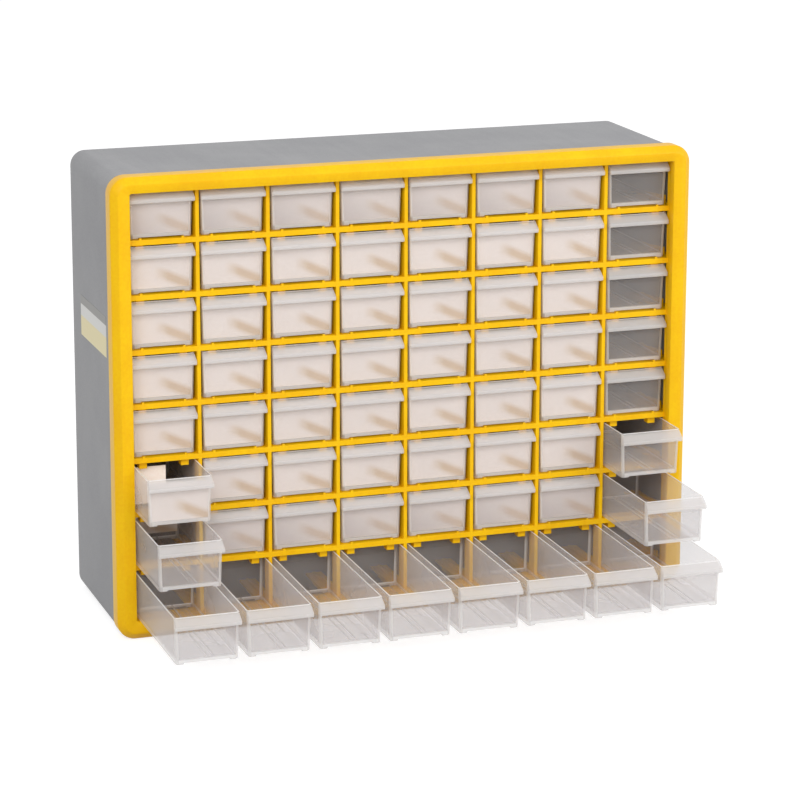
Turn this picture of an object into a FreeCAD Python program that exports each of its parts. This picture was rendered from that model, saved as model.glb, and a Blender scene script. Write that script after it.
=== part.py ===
import FreeCAD, Part
import math
import os
import Sketcher

# Small-parts bin cabinet: a grey moulded tub stands on its base and holds a yellow front frame. Behind
# the frame a rack of rails, posts and guide fins makes eight rows of eight cells, and a translucent
# drawer runs in each cell. The bottom row is pulled out to its stops, and the end drawers of the two
# rows above it stand part way out.
#
# Frame: X to the right, Y to the back, Z up, origin at the centre of the base. Millimetres.

# Driving sizes
SIZES = {
    # cells of the rack
    "columns": 8,
    "rows": 8,
    "cell_pitch_x": 59,
    "cell_pitch_z": 45,
    "post_width": 3,
    "rail_height": 4.3,
    "bar_depth": 12,
    "side_bar_depth": 3,
    # pips that stand on each rail, and tabs that hang below it and stop the drawers
    "catch_offset": 17.5,
    "pip_width": 2,
    "pip_height": 1.4,
    "pip_depth": 1.5,
    "tab_width": 6.5,
    "tab_drop": 5.4,
    "tab_inset": 3.5,
    "tab_depth": 8,
    # guide fins behind the rack, each with a ledge for the drawers' runners
    "fin_width": 2,
    "fin_reach": 70,
    "fin_below": 10,
    "fin_rise_near": 7,
    "fin_rise_far": 0.8,
    "ledge_width": 14,
    "ledge_thickness": 2,
    # front frame
    "bezel_side": 15.5,
    "bezel_foot": 15.3,
    "bezel_head": 13,
    "head_drop": 1,
    "bezel_lead": 11,
    "bezel_skirt": 8,
    "bezel_wall": 2.5,
    "bezel_front_wall": 5.5,
    "skirt_wall": 6,
    "corner_radius": 15,
    "opening_radius": 1.5,
    "crest_width": 5.5,
    "crest_fall": 5,
    "crest_round": 2,
    "face_width": 6.8,
    "face_fall": 1.2,
    # tub
    "housing_step": 2.5,
    "housing_wall": 2.5,
    "back_round": 3,
    "rest_depth": 8,
    "rest_thickness": 3,
    # snap joints between the tub and the front frame
    "slot_width": 2.5,
    "slot_depth": 6,
    "slot_spacing": 11,
    "hook_width": 6,
    "hook_thickness": 1.5,
    "hook_length": 7,
    "hook_gap": 0.3,
    "snap_outer_x": 200,
    "snap_middle_x": 31,
    "snap_high_z": 263,
    "snap_low_z": 117,
    # screw holes in the back wall
    "screw_hole_radius": 2.5,
    "screw_hole_spacing": 300,
    "screw_hole_height": 310,
    # blank sticker on the left side
    "sticker_length": 88,
    "sticker_height": 34,
    "sticker_film": 0.2,
    "sticker_inset": 16.5,
    "sticker_base": 230,
    # drawer tray
    "drawer_length": 136,
    "drawer_width": 53.4,
    "drawer_height": 39,
    "drawer_draft": 1.2,
    "drawer_end_draft": 0.8,
    "drawer_wall": 1.2,
    "drawer_floor": 1.2,
    "drawer_corner": 2.5,
    "runner_width": 6.5,
    "runner_height": 1.4,
    "rib_width": 1,
    "rib_height": 1.2,
    "rib_spacing": 5,
    "rib_shift": 4.2,
    "nib_depth": 1.5,
    "nib_height": 5,
    # finger hood across the drawer's front
    "hood_width": 54.4,
    "hood_root_width": 52.6,
    "hood_reach": 5.5,
    "hood_slope": 5.8,
    "hood_lip": 3.5,
    "hood_wall": 1.2,
    # how the drawers sit and move
    "run_gap": 0.3,
    "front_inset": 2,
    "back_gap": 3.5,
    "pull_row6_first": 48,
    "pull_row6_last": 38,
    "pull_row7_first": 78,
    "pull_row7_last": 90,
    # how far a cut runs past the material that it goes through, and how near counts as level
    "overrun": 1,
    "level_match": 0.05,
}

# Places that follow from the driving sizes
PLACES = {
    "opening_width": "Sizes.columns * Sizes.cell_pitch_x - Sizes.post_width",
    "bezel_width": "opening_width + 2 * Sizes.bezel_side",
    "floor_level": "Sizes.bezel_foot",
    "cell_top": "floor_level + Sizes.rows * Sizes.cell_pitch_z - Sizes.rail_height",
    "opening_top": "cell_top - Sizes.head_drop",
    "bezel_top": "opening_top + Sizes.bezel_head",
    "housing_width": "bezel_width - 2 * Sizes.housing_step",
    "housing_top": "bezel_top - Sizes.housing_step",
    "housing_inner_width": "housing_width - 2 * Sizes.housing_wall",
    "inside_depth": "Sizes.front_inset + Sizes.drawer_length + Sizes.back_gap",
    "full_depth": "Sizes.bezel_lead + inside_depth + Sizes.housing_wall",
    "front": "-full_depth / 2",
    "back": "full_depth / 2",
    "grid": "front + Sizes.bezel_lead",
    "seam": "grid + Sizes.bezel_skirt",
    "inner_back": "back - Sizes.housing_wall",
    "bar_back": "grid + Sizes.bar_depth",
    "side_bar_width": "Sizes.post_width",
    "rack_half": "opening_width / 2 + side_bar_width",
    "rack_foot": "floor_level - Sizes.rail_height",
    "housing_radius": "Sizes.corner_radius - Sizes.housing_step",
    "housing_inner_radius": "housing_radius - Sizes.housing_wall",
    "slot_half": "(Sizes.slot_spacing + Sizes.slot_width) / 2",
    "slot_inner_half": "(Sizes.slot_spacing - Sizes.slot_width) / 2",
    "hook_outer_x": "housing_inner_width / 2 - Sizes.hook_gap",
    "hook_top_z": "housing_top - Sizes.housing_wall - Sizes.hook_gap",
    "hook_foot_z": "Sizes.housing_wall + Sizes.hook_gap",
    "rack_head": "hook_top_z - Sizes.hook_thickness - Sizes.hook_gap",
    "cavity_floor": "Sizes.runner_height + Sizes.drawer_floor",
    "cavity_draft_share": "1 - cavity_floor / Sizes.drawer_height",
    "overrun_draft_share": "Sizes.overrun / Sizes.drawer_height",
    "tab_front": "grid + Sizes.tab_inset",
    "tab_back": "tab_front + Sizes.tab_depth",
    "hood_root": "Sizes.drawer_wall / 2",
    "hood_run": "Sizes.hood_reach + hood_root",
    "hood_flare": "(Sizes.hood_width - Sizes.hood_root_width) / 2",
    "hood_low": "Sizes.drawer_height - Sizes.hood_slope - Sizes.hood_lip",
    "hood_near_share": "hood_root / hood_run",
    "hood_far_share": "1 - Sizes.hood_wall / hood_run",
    "drawer_closed": "grid + Sizes.front_inset",
    "drawer_inner_back": "drawer_closed + Sizes.drawer_length - Sizes.drawer_wall",
    "drawer_travel": "drawer_inner_back - tab_back - Sizes.run_gap",
}

doc = FreeCAD.newDocument("parts_cabinet")


def fill_sheet(name, cells, prefix=""):
    """Makes a sheet of named cells, one row each."""
    sheet = doc.addObject("Spreadsheet::Sheet", name)
    for row, (alias, content) in enumerate(cells.items(), start=1):
        sheet.set(f"A{row}", alias)
        sheet.set(f"B{row}", prefix + str(content))
        sheet.setAlias(f"B{row}", alias)
    doc.recompute()
    return sheet


sizes_sheet = fill_sheet("Sizes", SIZES)
places_sheet = fill_sheet("Places", PLACES, "=")


def value(text):
    """The number that an expression gives now."""
    return float(sizes_sheet.evalExpression(text))


def bind(item, **links):
    """Binds properties of an object to expressions."""
    for name, text in links.items():
        item.setExpression(name, text)


def place(item, along_x="0", along_y="0", along_z="0"):
    """Binds where an object stands."""
    item.setExpression("Placement.Base.x", along_x)
    item.setExpression("Placement.Base.y", along_y)
    item.setExpression("Placement.Base.z", along_z)


# Sketches
def new_body(name):
    """An empty body whose label is its name."""
    body = doc.addObject("PartDesign::Body", name)
    body.Label = name
    return body


def origin_item(body, role):
    """One of the body's own origin planes or axes."""
    return next(item for item in body.Origin.OriginFeatures if item.Role == role)


def new_sketch(body, name, role, offset="0"):
    """A sketch on an origin plane, moved along the plane's normal by an expression."""
    sketch = body.newObject("Sketcher::SketchObject", name)
    sketch.AttachmentSupport = [(origin_item(body, role), "")]
    sketch.MapMode = "FlatFace"
    sketch.setExpression("AttachmentOffset.Base.z", offset)
    return sketch


def pin(sketch, kind, first, second, text):
    """A dimension between two points of a sketch that follows an expression."""
    number = sketch.addConstraint(Sketcher.Constraint(kind, *first, *second, value(text)))
    sketch.setExpression(f"Constraints[{number}]", text)


SKETCH_ORIGIN = (-1, 1)


def outline(sketch, corners):
    """A closed polygon whose corners follow the sheets."""
    count = len(corners)
    first = sketch.GeometryCount
    points = [FreeCAD.Vector(value(x), value(y), 0) for x, y in corners]
    for index, point in enumerate(points):
        sketch.addGeometry(Part.LineSegment(point, points[(index + 1) % count]))
    for index, (x, y) in enumerate(corners):
        edge = first + index
        following = first + (index + 1) % count
        sketch.addConstraint(Sketcher.Constraint("Coincident", edge, 2, following, 1))
        pin(sketch, "DistanceX", SKETCH_ORIGIN, (edge, 1), x)
        pin(sketch, "DistanceY", SKETCH_ORIGIN, (edge, 1), y)


def rectangle(sketch, left, right, low, high):
    """A rectangle between four places."""
    outline(sketch, [(left, low), (right, low), (right, high), (left, high)])


def rounded_rectangle(sketch, left, right, low, high, radius):
    """A rectangle with four equal round corners."""
    west, east, south, north, round_off = (value(text) for text in (left, right, low, high, radius))
    first = sketch.GeometryCount
    quarter = math.pi / 2
    starts = [(west + round_off, south), (east, south + round_off)]
    starts += [(east - round_off, north), (west, north - round_off)]
    ends = [(east - round_off, south), (east, north - round_off)]
    ends += [(west + round_off, north), (west, south + round_off)]
    centres = [(east - round_off, south + round_off), (east - round_off, north - round_off)]
    centres += [(west + round_off, north - round_off), (west + round_off, south + round_off)]
    up = FreeCAD.Vector(0, 0, 1)
    for side in range(4):
        sketch.addGeometry(Part.LineSegment(FreeCAD.Vector(*starts[side], 0), FreeCAD.Vector(*ends[side], 0)))
    for corner in range(4):
        circle = Part.Circle(FreeCAD.Vector(*centres[corner], 0), up, round_off)
        sketch.addGeometry(Part.ArcOfCircle(circle, (corner - 1) * quarter, corner * quarter))
    for side in range(4):
        line = first + side
        arc = first + 4 + side
        following = first + (side + 1) % 4
        sketch.addConstraint(Sketcher.Constraint("Tangent", line, 2, arc, 1))
        sketch.addConstraint(Sketcher.Constraint("Tangent", arc, 2, following, 1))
        sketch.addConstraint(Sketcher.Constraint("Vertical" if side % 2 else "Horizontal", line))
    number = sketch.addConstraint(Sketcher.Constraint("Radius", first + 4, round_off))
    sketch.setExpression(f"Constraints[{number}]", radius)
    for corner in range(1, 4):
        sketch.addConstraint(Sketcher.Constraint("Equal", first + 4, first + 4 + corner))
    pin(sketch, "DistanceY", SKETCH_ORIGIN, (first, 1), low)
    pin(sketch, "DistanceX", SKETCH_ORIGIN, (first + 1, 1), right)
    pin(sketch, "DistanceY", SKETCH_ORIGIN, (first + 2, 1), high)
    pin(sketch, "DistanceX", SKETCH_ORIGIN, (first + 3, 1), left)


def circle_at(sketch, across, up, radius):
    """A circle about a place."""
    centre = FreeCAD.Vector(value(across), value(up), 0)
    item = sketch.addGeometry(Part.Circle(centre, FreeCAD.Vector(0, 0, 1), value(radius)))
    number = sketch.addConstraint(Sketcher.Constraint("Radius", item, value(radius)))
    sketch.setExpression(f"Constraints[{number}]", radius)
    pin(sketch, "DistanceX", SKETCH_ORIGIN, (item, 3), across)
    pin(sketch, "DistanceY", SKETCH_ORIGIN, (item, 3), up)


# Features
def extrude(body, kind, sketch, length, backwards=False, both_ways=False):
    """A Pad or Pocket of a sketch; backwards turns it to the other side of the sketch."""
    feature = body.newObject("PartDesign::" + kind, sketch.Name + kind)
    feature.Profile = sketch
    feature.SideType = "Symmetric" if both_ways else "One side"
    feature.Reversed = backwards
    feature.setExpression("Length", length)
    doc.recompute()
    return feature


def loft(body, kind, lower, upper):
    """An AdditiveLoft or SubtractiveLoft between two sketches."""
    feature = body.newObject("PartDesign::" + kind, lower.Name + kind)
    feature.Profile = lower
    feature.Sections = [upper]
    feature.Ruled = True
    doc.recompute()
    return feature


def repeat(body, feature, *runs):
    """Copies a feature in steps; each run is an origin axis, a spacing and a count."""
    patterns = []
    for number, (role, spacing, count) in enumerate(runs, start=1):
        pattern = doc.addObject("PartDesign::LinearPattern", f"{feature.Name}Run{number}")
        pattern.Direction = (origin_item(body, role), [""])
        pattern.Mode = "Spacing"
        bind(pattern, Offset=spacing, Occurrences=count)
        patterns.append(pattern)
    grid = body.newObject("PartDesign::MultiTransform", feature.Name + "Copies")
    grid.Originals = [feature]
    grid.Transformations = patterns
    body.Tip = grid
    doc.recompute()
    return grid


def edges_where(feature, test):
    """Names of the feature's edges that pass a test."""
    return [f"Edge{number}" for number, edge in enumerate(feature.Shape.Edges, start=1) if test(edge)]


def lies_at(edge, level, along=1):
    """Whether the whole edge lies at one level of an axis, which is Y unless said."""
    box = edge.BoundBox
    low, high = (box.XMin, box.YMin, box.ZMin)[along], (box.XMax, box.YMax, box.ZMax)[along]
    near = value("Sizes.level_match")
    return abs(low - level) < near and abs(high - level) < near


def edges_of_loop(face_level, middle, outside):
    """A test for the edges at one depth: those outside the middle of the front frame's band, or inside it."""
    half_x, low_z, high_z = middle

    def test(edge):
        box = edge.BoundBox
        beyond = max(abs(box.XMin), abs(box.XMax)) > half_x or box.ZMin < low_z or box.ZMax > high_z
        return lies_at(edge, face_level) and beyond == outside

    return test


# Middles of the snap joints, along the top and foot edges and up the sides
SNAP_PLACES_X = ("-Sizes.snap_outer_x", "Sizes.snap_middle_x", "Sizes.snap_outer_x")
SNAP_PLACES_Z = ("Sizes.snap_low_z", "Sizes.snap_high_z")


# Tub: an open-fronted box with round corners, rests for the drawers' backs, snap slots and screw holes
def make_housing():
    """The grey tub."""
    body = new_body("housing_shell")
    half = "Places.housing_width / 2"
    outer = new_sketch(body, "TubOutline", "XZ_Plane", "-Places.seam")
    rounded_rectangle(outer, "-" + half, half, "0", "Places.housing_top", "Places.housing_radius")
    tub = extrude(body, "Pad", outer, "Places.back - Places.seam", backwards=True)

    back = value("Places.back")
    soften = body.newObject("PartDesign::Fillet", "BackRound")
    soften.Base = (tub, edges_where(tub, lambda edge: lies_at(edge, back)))
    bind(soften, Radius="Sizes.back_round")
    doc.recompute()

    inner_half = "Places.housing_inner_width / 2"
    hollow = new_sketch(body, "TubHollow", "XZ_Plane", "-Places.seam")
    rounded_rectangle(hollow, "-" + inner_half, inner_half, "Sizes.housing_wall",
                      "Places.housing_top - Sizes.housing_wall", "Places.housing_inner_radius")
    extrude(body, "Pocket", hollow, "Places.inner_back - Places.seam")

    rest = new_sketch(body, "BackRest", "XZ_Plane", "-Places.inner_back - Sizes.housing_wall / 2")
    rectangle(rest, "-" + inner_half, inner_half, "Places.floor_level - Sizes.rest_thickness",
              "Places.floor_level")
    shelf = extrude(body, "Pad", rest, "Sizes.rest_depth + Sizes.housing_wall / 2")
    repeat(body, shelf, ("Z_Axis", "Sizes.cell_pitch_z", "Sizes.rows"))

    holes = new_sketch(body, "ScrewHoles", "XZ_Plane", "-Places.inner_back")
    for side in ("-", ""):
        circle_at(holes, side + "Sizes.screw_hole_spacing / 2", "Sizes.screw_hole_height",
                  "Sizes.screw_hole_radius")
    extrude(body, "Pocket", holes, "Sizes.housing_wall + Sizes.overrun")

    top_slots = new_sketch(body, "TopSlots", "XY_Plane", "Places.housing_top + Sizes.overrun")
    foot_slots = new_sketch(body, "FootSlots", "XY_Plane", "-Sizes.overrun")
    for middle in SNAP_PLACES_X:
        for sketch in (top_slots, foot_slots):
            cut_slot_pair(sketch, middle, upright=False)
    extrude(body, "Pocket", top_slots, "Sizes.housing_wall + 2 * Sizes.overrun")
    extrude(body, "Pocket", foot_slots, "Sizes.housing_wall + 2 * Sizes.overrun", backwards=True)
    side_slots = new_sketch(body, "SideSlots", "YZ_Plane")
    for middle in SNAP_PLACES_Z:
        cut_slot_pair(side_slots, middle, upright=True)
    extrude(body, "Pocket", side_slots, "Places.housing_width + 2 * Sizes.overrun", both_ways=True)
    return body


def cut_slot_pair(sketch, middle, upright):
    """Two slots in from the tub's front edge, which leave a tongue between them."""
    near, far = "Places.seam - Sizes.overrun", "Places.seam + Sizes.slot_depth"
    for one, other in (("-Places.slot_half", "-Places.slot_inner_half"),
                       ("Places.slot_inner_half", "Places.slot_half")):
        low, high = f"{middle} + ({one})", f"{middle} + ({other})"
        if upright:
            rectangle(sketch, near, far, low, high)
        else:
            rectangle(sketch, low, high, near, far)


def bevel(body, name, base, test, first, second):
    """A bevel with two widths along some edges."""
    feature = body.newObject("PartDesign::Chamfer", name)
    feature.Base = (base, edges_where(base, test))
    feature.ChamferType = "Two distances"
    bind(feature, Size=first, Size2=second)
    doc.recompute()
    if abs(feature.Shape.Volume - base.Shape.Volume) < value("Sizes.overrun"):
        raise RuntimeError(f"{name} cut nothing")
    return feature


# Front frame: a ring with a creased face, a hollow back and a skirt that meets the tub
def make_bezel():
    """The yellow front frame."""
    body = new_body("front_bezel")
    half, open_half = "Places.bezel_width / 2", "Places.opening_width / 2"
    edge = ("-" + half, half, "0", "Places.bezel_top", "Sizes.corner_radius")
    opening = ("-" + open_half, open_half, "Places.floor_level", "Places.opening_top", "Sizes.opening_radius")

    ring = new_sketch(body, "Ring", "XZ_Plane", "-Places.grid")
    rounded_rectangle(ring, *edge)
    rounded_rectangle(ring, *opening)
    face = extrude(body, "Pad", ring, "Sizes.bezel_lead")

    front = value("Places.front")
    middle = (value("Places.opening_width + Sizes.bezel_side") / 2,
              value("Places.floor_level - Sizes.bezel_foot / 2"),
              value("Places.opening_top + Sizes.bezel_head / 2"))
    crest = bevel(body, "Crest", face, edges_of_loop(front, middle, outside=True),
                  "Sizes.crest_fall", "Sizes.crest_width")
    slope = bevel(body, "FaceSlope", crest, edges_of_loop(front, middle, outside=False),
                  "Sizes.face_width", "Sizes.face_fall")
    soften = body.newObject("PartDesign::Fillet", "CrestRound")
    rim = edges_of_loop(front + value("Sizes.crest_fall"), middle, outside=True)
    soften.Base = (slope, edges_where(slope, rim))
    bind(soften, Radius="Sizes.crest_round")
    doc.recompute()

    skirt = new_sketch(body, "Skirt", "XZ_Plane", "-Places.grid")
    inset = "Sizes.skirt_wall"
    rounded_rectangle(skirt, *edge)
    rounded_rectangle(skirt, f"-{half} + {inset}", f"{half} - {inset}", inset, f"Places.bezel_top - {inset}",
                      f"Sizes.corner_radius - {inset}")
    extrude(body, "Pad", skirt, "Sizes.bezel_skirt", backwards=True)

    channel = new_sketch(body, "Channel", "XZ_Plane", "-Places.grid")
    inset = "Sizes.bezel_wall"
    rounded_rectangle(channel, f"-{half} + {inset}", f"{half} - {inset}", inset,
                      f"Places.bezel_top - {inset}", f"Sizes.corner_radius - {inset}")
    rounded_rectangle(channel, f"-{open_half} - {inset}", f"{open_half} + {inset}",
                      f"Places.floor_level - {inset}", f"Places.opening_top + {inset}",
                      f"Sizes.opening_radius + {inset}")
    extrude(body, "Pocket", channel, "Sizes.bezel_lead - Sizes.bezel_front_wall", backwards=True)

    hooks = new_sketch(body, "Hooks", "XZ_Plane", "-Places.seam")
    reach, deep = "Sizes.hook_width / 2", "Sizes.hook_thickness"
    for middle in SNAP_PLACES_X:
        rectangle(hooks, f"{middle} - {reach}", f"{middle} + {reach}", f"Places.hook_top_z - {deep}",
                  "Places.hook_top_z")
        rectangle(hooks, f"{middle} - {reach}", f"{middle} + {reach}", "Places.hook_foot_z",
                  f"Places.hook_foot_z + {deep}")
    for middle in SNAP_PLACES_Z:
        rectangle(hooks, "-Places.hook_outer_x", f"-Places.hook_outer_x + {deep}", f"{middle} - {reach}",
                  f"{middle} + {reach}")
        rectangle(hooks, f"Places.hook_outer_x - {deep}", "Places.hook_outer_x", f"{middle} - {reach}",
                  f"{middle} + {reach}")
    extrude(body, "Pad", hooks, "Sizes.hook_length", backwards=True)
    return body


# Rack: rails, posts, side bars and fins, which meet face to face
def copies(name, master, spots):
    """Links to a solid, each moved across and up by two expressions."""
    links = []
    for number, (across, up) in enumerate(spots, start=1):
        link = doc.addObject("App::Link", f"{name}{number}")
        link.LinkedObject = master
        place(link, along_x=across, along_z=up)
        links.append(link)
    return links


def cell_steps(columns, rows):
    """Steps of one cell each, across and upwards."""
    return [(f"{column} * Sizes.cell_pitch_x", f"{row} * Sizes.cell_pitch_z")
            for column in range(columns) for row in range(rows)]


def make_bar(name, low, high, pips, tabs):
    """A level bar over the rack's whole width, with pips on top or tabs below where asked."""
    body = new_body(name)
    bar = new_sketch(body, name + "_bar", "XZ_Plane", "-Places.bar_back")
    rectangle(bar, "-Places.opening_width / 2", "Places.opening_width / 2", low, high)
    extrude(body, "Pad", bar, "Sizes.bar_depth")
    first_cell = "(1 - Sizes.columns) / 2 * Sizes.cell_pitch_x"
    extras = []
    if pips:
        extras.append(("pips", "Sizes.pip_width", high, f"{high} + Sizes.pip_height", "Places.grid",
                       "Sizes.pip_depth"))
    if tabs:
        extras.append(("tabs", "Sizes.tab_width", f"{low} - Sizes.tab_drop", low, "Places.tab_front",
                       "Sizes.tab_depth"))
    for label, width, foot, head, front, depth in extras:
        sketch = new_sketch(body, f"{name}_{label}", "XZ_Plane", "-" + front)
        for side in ("-", "+"):
            middle = f"{first_cell} {side} Sizes.catch_offset"
            rectangle(sketch, f"{middle} - {width} / 2", f"{middle} + {width} / 2", foot, head)
        catch = extrude(body, "Pad", sketch, depth, backwards=True)
        repeat(body, catch, ("X_Axis", "Sizes.cell_pitch_x", "Sizes.columns"))
    return body


def make_post():
    """The first of the short posts between the bars."""
    body = new_body("post")
    post = new_sketch(body, "Post", "XZ_Plane", "-Places.bar_back")
    middle = "(2 - Sizes.columns) / 2 * Sizes.cell_pitch_x"
    rectangle(post, f"{middle} - Sizes.post_width / 2", f"{middle} + Sizes.post_width / 2",
              "Places.floor_level", "Places.floor_level + Sizes.cell_pitch_z - Sizes.rail_height")
    extrude(body, "Pad", post, "Sizes.bar_depth")
    return body


def make_side_bar():
    """The full-height bar at the rack's left end."""
    body = new_body("side_bar")
    bar = new_sketch(body, "SideBar", "XZ_Plane", "-Places.grid")
    rectangle(bar, "-Places.rack_half", "-Places.opening_width / 2", "Places.rack_foot", "Places.rack_head")
    extrude(body, "Pad", bar, "Sizes.side_bar_depth", backwards=True)
    return body


def make_fin():
    """The first guide fin, with a ledge on both sides at the runners' level."""
    body = new_body("fin")
    end_column = "-Sizes.columns / 2 * Sizes.cell_pitch_x"
    near, far, level = "Places.bar_back", "Places.grid + Sizes.fin_reach", "Places.floor_level"
    blade = new_sketch(body, "Blade", "YZ_Plane", end_column)
    foot = f"{level} - Sizes.fin_below"
    outline(blade, [(near, foot), (far, foot), (far, f"{level} + Sizes.fin_rise_far"),
                    (near, f"{level} + Sizes.fin_rise_near")])
    extrude(body, "Pad", blade, "Sizes.fin_width", both_ways=True)
    ledge = new_sketch(body, "Ledge", "YZ_Plane", end_column)
    rectangle(ledge, near, far, f"{level} - Sizes.ledge_thickness", level)
    extrude(body, "Pad", ledge, "Sizes.ledge_width", both_ways=True)
    return body


def make_rack():
    """The whole rack as one group of solids."""
    columns, rows = SIZES["columns"], SIZES["rows"]
    first_rail = "Places.floor_level + Sizes.cell_pitch_z"
    rail = make_bar("rail", f"{first_rail} - Sizes.rail_height", first_rail, pips=True, tabs=True)
    head = make_bar("head_bar", "Places.cell_top", "Places.rack_head", pips=False, tabs=True)
    foot = make_bar("foot_bar", "Places.rack_foot", "Places.floor_level", pips=True, tabs=False)
    both_ends = [("0", "0"), ("Places.opening_width + Places.side_bar_width", "0")]
    rack = doc.addObject("Part::Compound", "drawer_rack")
    rack.Links = [
        head,
        foot,
        *copies("Rail", rail, cell_steps(1, rows - 1)),
        *copies("ShortPost", make_post(), cell_steps(columns - 1, rows)),
        *copies("EndBar", make_side_bar(), both_ends),
        *copies("GuideFin", make_fin(), cell_steps(columns + 1, rows)),
    ]
    return rack


# Drawer: a tapered tray on two runners, with a finger hood at its front. Its back wall stops on the tabs.
# Its own frame: X across, Y from the front wall's face to the back, Z up from the runners.
def tray_section(body, name, level, inset, radius):
    """One level of the tray's tapered outside, or of its inside, drawn in from the rim by an inset."""
    sketch = new_sketch(body, name, "XY_Plane", level)
    side_inset, end_inset = inset
    half = f"(Sizes.drawer_width / 2 - ({side_inset}))"
    rounded_rectangle(sketch, "-" + half, half, end_inset, f"Sizes.drawer_length - ({end_inset})", radius)
    return sketch


def make_tray():
    """The drawer's tray."""
    body = new_body("tray")
    wall, draft, end_draft = "Sizes.drawer_wall", "Sizes.drawer_draft", "Sizes.drawer_end_draft"
    low = tray_section(body, "TrayFoot", "0", (draft, end_draft), "Sizes.drawer_corner")
    rim = tray_section(body, "TrayRim", "Sizes.drawer_height", ("0", "0"), "Sizes.drawer_corner")
    block = loft(body, "AdditiveLoft", low, rim)

    share, past = "Places.cavity_draft_share", "Places.overrun_draft_share"
    inner_corner = f"Sizes.drawer_corner - {wall}"
    floor = tray_section(body, "CavityFloor", "Places.cavity_floor",
                         (f"{wall} + {draft} * {share}", f"{wall} + {end_draft} * {share}"), inner_corner)
    mouth = tray_section(body, "CavityMouth", "Sizes.drawer_height + Sizes.overrun",
                         (f"{wall} - {draft} * {past}", f"{wall} - {end_draft} * {past}"), inner_corner)
    hollow = loft(body, "SubtractiveLoft", floor, mouth)
    if hollow.Shape.Volume > block.Shape.Volume / 2:
        raise RuntimeError("the tray isn't hollow")

    recess = new_sketch(body, "Recess", "XY_Plane")
    inner = f"(Sizes.drawer_width / 2 - {draft} - Sizes.runner_width)"
    rectangle(recess, "-" + inner, inner, "-Sizes.overrun", "Sizes.drawer_length + Sizes.overrun")
    extrude(body, "Pocket", recess, "Sizes.runner_height", backwards=True)

    ribs = new_sketch(body, "FloorRibs", "XY_Plane", "Places.cavity_floor")
    nibs = new_sketch(body, "BackNibs", "XY_Plane", "Places.cavity_floor")
    back = f"Sizes.drawer_length - {wall}"
    for side in ("-", "+"):
        middle = f"Sizes.rib_shift {side} Sizes.rib_spacing / 2"
        edges = (f"{middle} - Sizes.rib_width / 2", f"{middle} + Sizes.rib_width / 2")
        rectangle(ribs, *edges, wall, back)
        rectangle(nibs, *edges, f"{back} - Sizes.nib_depth - {end_draft}", back)
    extrude(body, "Pad", ribs, "Sizes.rib_height")
    extrude(body, "Pad", nibs, "Sizes.nib_height")

    return body


def hood_block(name, near_share, far_share, wall, low):
    """A block that widens and drops between two shares of the hood's run, drawn in by a wall."""
    block = doc.addObject("Part::Wedge", name)
    start = "Sizes.hood_root_width / 2"
    near = f"{start} + Places.hood_flare * {near_share} - {wall}"
    far = f"{start} + Places.hood_flare * {far_share} - {wall}"
    bind(block, Ymin=f"Places.hood_root - Places.hood_run * {far_share}",
         Ymax=f"Places.hood_root - Places.hood_run * {near_share}",
         Xmin=f"-({far})", Xmax=far, X2min=f"-({near})", X2max=near, Zmin=low, Z2min=low,
         Zmax=f"Sizes.drawer_height - Sizes.hood_slope * {far_share} - {wall}",
         Z2max=f"Sizes.drawer_height - Sizes.hood_slope * {near_share} - {wall}")
    return block


def make_drawer():
    """The drawer that every cell holds."""
    tray = make_tray()
    outside = hood_block("HoodOutside", "0", "1", "0", "Places.hood_low")
    inside = hood_block("HoodInside", "Places.hood_near_share", "Places.hood_far_share", "Sizes.hood_wall",
                        "Places.hood_low - Sizes.overrun")
    hood = doc.addObject("Part::Cut", "Hood")
    hood.Base = outside
    hood.Tool = inside
    drawer = doc.addObject("Part::Fuse", "Drawer")
    drawer.Base = tray
    drawer.Tool = hood
    drawer.Refine = True
    doc.recompute()
    return drawer


def make_pair(drawer):
    """Two drawers side by side, one pitch apart."""
    pair = doc.addObject("Part::Compound", "DrawerPair")
    half = "Sizes.cell_pitch_x / 2"
    pair.Links = copies("SideBySide", drawer, [("-" + half, "0"), (half, "0")])
    return pair


def hang(label, master, column, row, pull):
    """A drawer, or a pair, in its cell and pulled out by an expression."""
    item = doc.addObject("Part::Compound", label)
    item.Label = label
    item.Links = [master]
    place(item, f"({column} - (Sizes.columns + 1) / 2) * Sizes.cell_pitch_x",
          f"Places.drawer_closed - {pull}",
          f"Places.floor_level + (Sizes.rows - {row}) * Sizes.cell_pitch_z + Sizes.run_gap")
    return item


PAIRED_ROWS = 2
STANDING_OUT = {
    (6, 1): "Sizes.pull_row6_first",
    (6, 8): "Sizes.pull_row6_last",
    (7, 1): "Sizes.pull_row7_first",
    (7, 8): "Sizes.pull_row7_last",
}


def make_drawers():
    """Every drawer; the top two rows in pairs, the rest one by one."""
    drawer = make_drawer()
    pair = make_pair(drawer)
    columns, rows = SIZES["columns"], SIZES["rows"]
    items = []
    for row in range(1, PAIRED_ROWS + 1):
        for column in range(1, columns, 2):
            label = f"drawers_row{row}_col{column}_{column + 1}"
            items.append(hang(label, pair, column + 0.5, row, "0"))
    for row in range(PAIRED_ROWS + 1, rows + 1):
        for column in range(1, columns + 1):
            pull = "Places.drawer_travel" if row == rows else STANDING_OUT.get((row, column), "0")
            items.append(hang(f"drawer_row{row}_col{column}", drawer, column, row, pull))
    return items


def make_sticker():
    """The blank sticker on the tub's left side."""
    sticker = doc.addObject("Part::Box", "side_sticker")
    bind(sticker, Length="Sizes.sticker_film", Width="Sizes.sticker_length", Height="Sizes.sticker_height")
    place(sticker, "-Places.housing_width / 2 - Sizes.sticker_film", "Places.seam + Sizes.sticker_inset",
          "Sizes.sticker_base")
    return sticker


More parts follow.
